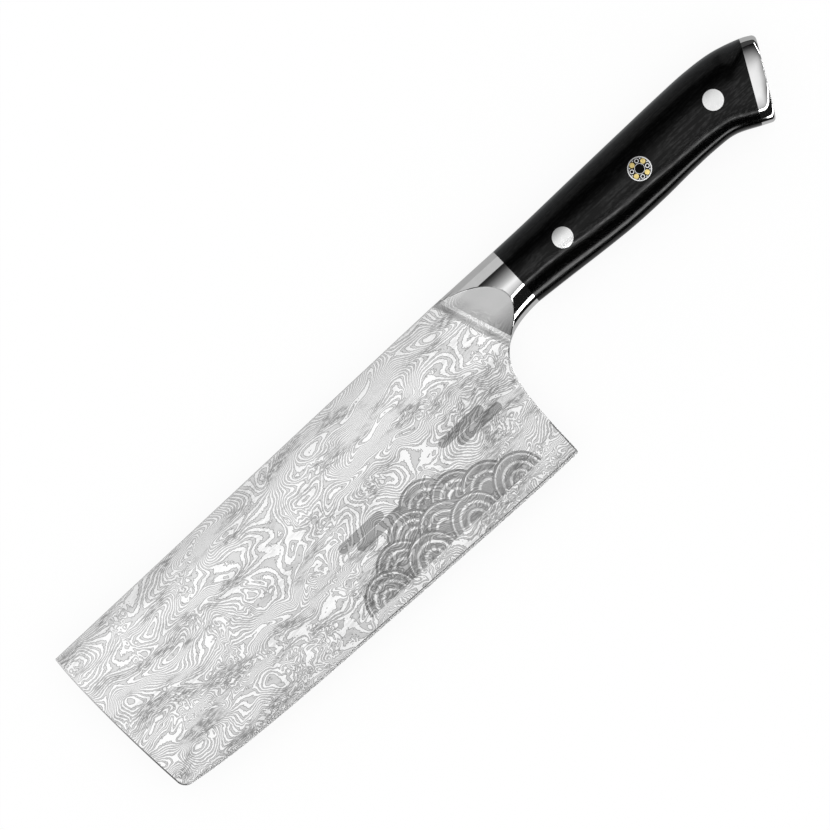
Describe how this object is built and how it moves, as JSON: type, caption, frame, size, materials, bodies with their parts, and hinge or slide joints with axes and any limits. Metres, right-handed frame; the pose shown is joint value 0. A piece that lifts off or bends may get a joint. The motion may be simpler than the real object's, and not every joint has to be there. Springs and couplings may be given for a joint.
{
  "type": "vegetable cleaver",
  "caption": "Vegetable cleaver with a straight-fronted layered steel blade, forged bolster, full tang, riveted laminate scales, mosaic pin and steel end cap.",
  "frame": {"origin": "centre of the bounding box in plan, on the surface that the cleaver's side lies on", "axes": "+X from the blade's front edge towards the butt of the handle, +Y from the cutting edge towards the spine, +Z out of the left side of the blade"},
  "size_m": [0.3064, 0.0674, 0.018],
  "materials": {
    "core_steel": "sharpened bevel, fine ground",
    "patterned_steel": "etched layered steel, pale with fine grey contour lines",
    "polished_steel": "mirror polished, ground facets satin",
    "tang_steel": "satin",
    "black_laminate": "buffed black layered laminate",
    "rivet_steel": "polished flush with the scales",
    "pin_brass": "polished flush",
    "black_resin": "glossy black resin"
  },
  "bodies": {
    "root": {"blade_core": "core_steel", "cladding_left": "patterned_steel", "cladding_right": "patterned_steel", "bolster": "polished_steel", "tang": "tang_steel", "scale_left": "black_laminate", "scale_right": "black_laminate", "end_cap": "polished_steel", "front_rivet_male": "rivet_steel", "front_rivet_female": "rivet_steel", "rear_rivet_male": "rivet_steel", "rear_rivet_female": "rivet_steel", "mosaic_tube": "rivet_steel", "mosaic_centre_tube": "rivet_steel", "mosaic_brass_rods": "pin_brass", "mosaic_steel_tubes": "rivet_steel", "mosaic_wires": "rivet_steel", "mosaic_resin": "black_resin"}
  },
  "joints": []
}
